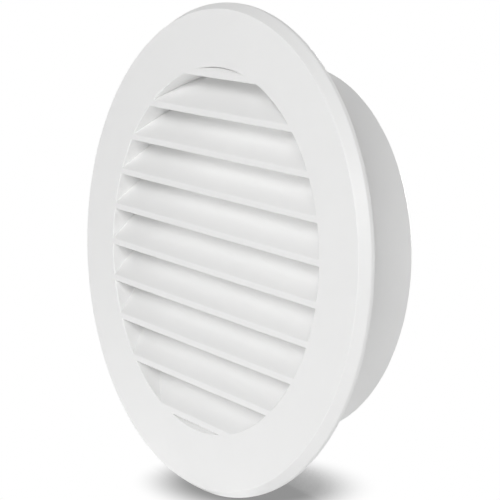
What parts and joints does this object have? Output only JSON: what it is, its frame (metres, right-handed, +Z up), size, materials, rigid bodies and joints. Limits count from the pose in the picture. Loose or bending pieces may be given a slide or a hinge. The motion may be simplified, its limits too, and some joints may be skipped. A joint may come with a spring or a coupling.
{
  "type": "round vent cover",
  "caption": "Round louvred vent cover: wide bevelled flange, fixed sloping slats across the opening, and a collar that slides into a duct pipe.",
  "frame": {"origin": "on the collar's axis, in the plane of the wall's face that the flange's rim lies against", "axes": "+Y along the duct into the wall, -Y the way the louvred face looks, +Z up across the level slats, +X to the right of someone facing the cover's front"},
  "size_m": [0.13, 0.0287, 0.13],
  "materials": {
    "white_plastic": "satin white moulding, clean"
  },
  "bodies": {
    "root": {"vent_cover": "white_plastic"}
  },
  "joints": []
}
